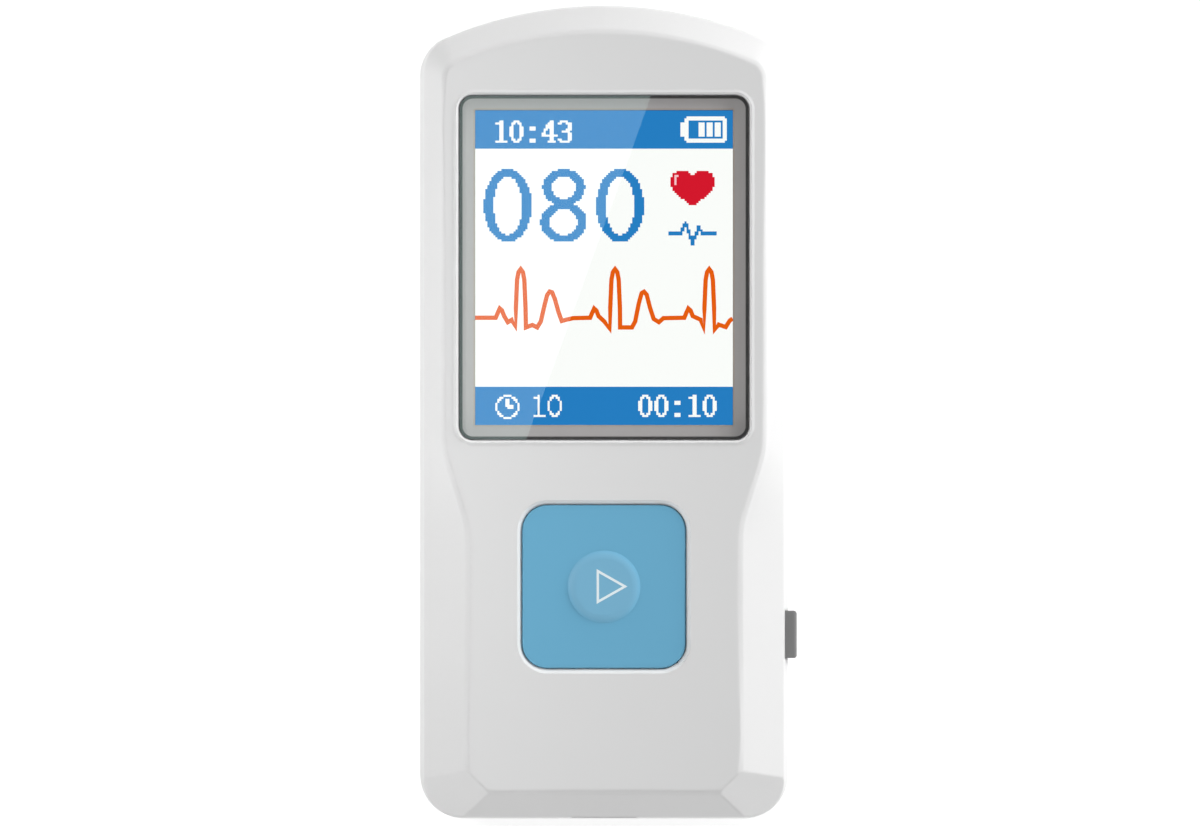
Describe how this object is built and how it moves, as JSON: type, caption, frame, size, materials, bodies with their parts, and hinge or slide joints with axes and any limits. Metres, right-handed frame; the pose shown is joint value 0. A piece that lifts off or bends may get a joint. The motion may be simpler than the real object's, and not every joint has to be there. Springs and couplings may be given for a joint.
{
  "type": "ecg home monitor",
  "caption": "Palm-sized heart monitor with a colour screen, a large square start key, a small side key and steel contact plates in its back.",
  "frame": {"origin": "centre of the flat back that the monitor rests on", "axes": "+Y towards the arched screen end, +Z out of the face, +X towards the side that carries the small key"},
  "size_m": [0.0464, 0.1002, 0.0151],
  "materials": {
    "housing_white": "satin moulded ABS",
    "housing_rear_white": "satin moulded ABS",
    "window_clear": "clear hard-coated acrylic",
    "border_grey": "grey print on film",
    "adhesive_black": "double-sided adhesive foam",
    "display_picture": "colour display glass",
    "backlight_white": "moulded backlight frame",
    "holder_black": "moulded",
    "flex_amber": "polyimide film",
    "connector_ivory": "moulded",
    "board_green": "solder mask",
    "chip_black": "moulded package",
    "can_steel": "tinned steel",
    "passive_tan": "chip components",
    "key_blue": "satin moulded",
    "key_grey": "moulded",
    "switch_black": "moulded",
    "plunger_white": "moulded",
    "port_steel": "nickel-plated steel",
    "port_black": "moulded",
    "battery_silver": "pouch foil",
    "foam_grey": "foam",
    "lead_red": "insulation",
    "lead_black": "insulation",
    "electrode_steel": "brushed stainless steel",
    "seal_black": "adhesive sheet",
    "spring_brass": "gold-plated",
    "screw_steel": "zinc-plated"
  },
  "bodies": {
    "housing": {"front_shell": "housing_white", "rear_shell": "housing_rear_white", "screen_window": "window_clear", "window_mask": "border_grey", "window_adhesive": "adhesive_black", "lcd_gasket": "foam_grey", "lcd_cell": "display_picture", "lcd_backlight": "backlight_white", "lcd_holder": "holder_black", "lcd_flex": "flex_amber", "flex_connector": "connector_ivory", "main_board": "board_green", "processor_chips": "chip_black", "shield_can": "can_steel", "board_passives": "passive_tan", "main_switch_body": "switch_black", "side_switch_body": "switch_black", "usb_shell": "port_steel", "usb_tongue": "port_black", "battery_cell": "battery_silver", "battery_foam": "foam_grey", "battery_lead_red": "lead_red", "battery_lead_black": "lead_black", "battery_connector": "connector_ivory", "electrode_upper": "electrode_steel", "electrode_lower_left": "electrode_steel", "electrode_lower_right": "electrode_steel", "electrode_seals": "seal_black", "electrode_clips": "can_steel", "electrode_springs": "spring_brass", "housing_screws": "screw_steel", "board_screws": "screw_steel"},
    "start_key": {"main_key": "key_blue", "main_switch_plunger": "plunger_white"},
    "side_key_unit": {"side_key": "key_grey", "side_switch_plunger": "plunger_white"}
  },
  "joints": [
    {"name": "start_key_press", "type": "slide", "parent": "housing", "child": "start_key", "axis": [0, 0, -1], "range_m": [0, 0.00045], "stiffness_N_per_m": 3500},
    {"name": "side_key_press", "type": "slide", "parent": "housing", "child": "side_key_unit", "axis": [-1, 0, 0], "range_m": [0, 0.0004], "stiffness_N_per_m": 3500}
  ]
}
